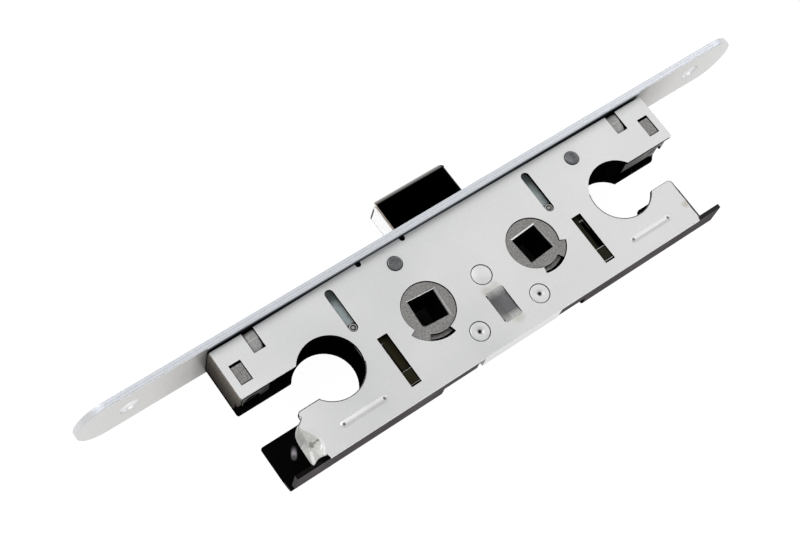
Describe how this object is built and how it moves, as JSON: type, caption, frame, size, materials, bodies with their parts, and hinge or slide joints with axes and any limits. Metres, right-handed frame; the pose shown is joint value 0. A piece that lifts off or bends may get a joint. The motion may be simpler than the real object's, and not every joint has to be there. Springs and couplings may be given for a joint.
{
  "type": "sliding door mortise lock",
  "caption": "Shallow-case mortise lock for a sliding door: long round-ended faceplate, rectangular claw bolt, mirrored cylinder cut-outs and square spindle hubs.",
  "frame": {"origin": "middle of the faceplate's rear face, the one that seats in the door edge, centred between the two fixing holes", "axes": "+X along the faceplate, +Y out of the door edge the way the bolt is thrown, +Z out of the visible cover; the lock lies on its back as in the picture"},
  "size_m": [0.2228, 0.0536, 0.018],
  "materials": {
    "faceplate_steel": "satin silver plating",
    "cover_steel": "satin silver plating",
    "black_steel": "gloss black",
    "zinc": "cast, fine grain, matt",
    "screw_steel": "zinc plated",
    "guide_zinc": "cast, blue-grey passivated",
    "rivet_steel": "plain turned steel",
    "spring_steel": "plain spring steel",
    "bolt_nickel": "polished dark nickel",
    "claw_steel": "plain hardened steel",
    "slide_steel": "black olive passivated"
  },
  "bodies": {
    "case": {"faceplate": "faceplate_steel", "cover_plate": "cover_steel", "back_shell": "black_steel", "end_block_left": "zinc", "end_block_right": "zinc", "case_screws": "screw_steel", "bolt_guide": "guide_zinc", "front_rivets": "rivet_steel", "rear_posts": "cover_steel", "centre_stud": "cover_steel", "detent_spring": "spring_steel", "claw_pins": "rivet_steel"},
    "bolt": {"bolt_head": "bolt_nickel", "bolt_tail": "zinc", "tail_rivets": "rivet_steel", "claw_pivot": "rivet_steel"},
    "claw_left": {"claw_left": "claw_steel"},
    "claw_right": {"claw_right": "claw_steel"},
    "hub_left": {"hub_left": "zinc"},
    "hub_right": {"hub_right": "zinc"},
    "slide_left": {"lock_slide_left": "slide_steel", "guide_pin_left": "rivet_steel"},
    "slide_right": {"lock_slide_right": "slide_steel", "guide_pin_right": "rivet_steel"},
    "blocker_left": {"blocker_left": "claw_steel", "blocker_pin_left": "rivet_steel"},
    "blocker_right": {"blocker_right": "claw_steel", "blocker_pin_right": "rivet_steel"}
  },
  "joints": [
    {"name": "bolt_throw", "type": "slide", "parent": "case", "child": "bolt", "axis": [0, 1, 0], "range_m": [0, 0.0109]},
    {"name": "claw_left_swing", "type": "hinge", "parent": "bolt", "child": "claw_left", "pos_m": [0, -0.0063, 0], "axis": [0, 0, 1], "range_deg": [0, 22.1]},
    {"name": "claw_right_swing", "type": "hinge", "parent": "bolt", "child": "claw_right", "pos_m": [0, -0.0063, 0], "axis": [0, 0, 1], "range_deg": [-22.1, 0]},
    {"name": "hub_left_turn", "type": "hinge", "parent": "case", "child": "hub_left", "pos_m": [-0.0178, -0.0206, 0], "axis": [0, 0, 1], "range_deg": [0, 46.1]},
    {"name": "hub_right_turn", "type": "hinge", "parent": "case", "child": "hub_right", "pos_m": [0.0178, -0.0206, 0], "axis": [0, 0, 1], "range_deg": [-46.1, 0]},
    {"name": "slide_left_push", "type": "slide", "parent": "case", "child": "slide_left", "axis": [0, 1, 0], "range_m": [0, 0.0109]},
    {"name": "slide_right_push", "type": "slide", "parent": "case", "child": "slide_right", "axis": [0, 1, 0], "range_m": [0, 0.0109]},
    {"name": "blocker_left_move", "type": "slide", "parent": "case", "child": "blocker_left", "axis": [1, 0, 0], "range_m": [0, 0.00262]},
    {"name": "blocker_right_move", "type": "slide", "parent": "case", "child": "blocker_right", "axis": [-1, 0, 0], "range_m": [0, 0.00262]}
  ],
  "couplings": [
    {"joint": "hub_left_turn", "follows": "bolt_throw", "rad_per_m": 73.656},
    {"joint": "hub_right_turn", "follows": "bolt_throw", "rad_per_m": -73.656},
    {"joint": "claw_left_swing", "follows": "bolt_throw", "rad_per_m": 35.227},
    {"joint": "claw_right_swing", "follows": "bolt_throw", "rad_per_m": -35.227},
    {"joint": "blocker_left_move", "follows": "slide_left_push", "ratio": 0.23853},
    {"joint": "blocker_right_move", "follows": "slide_right_push", "ratio": 0.23853}
  ]
}
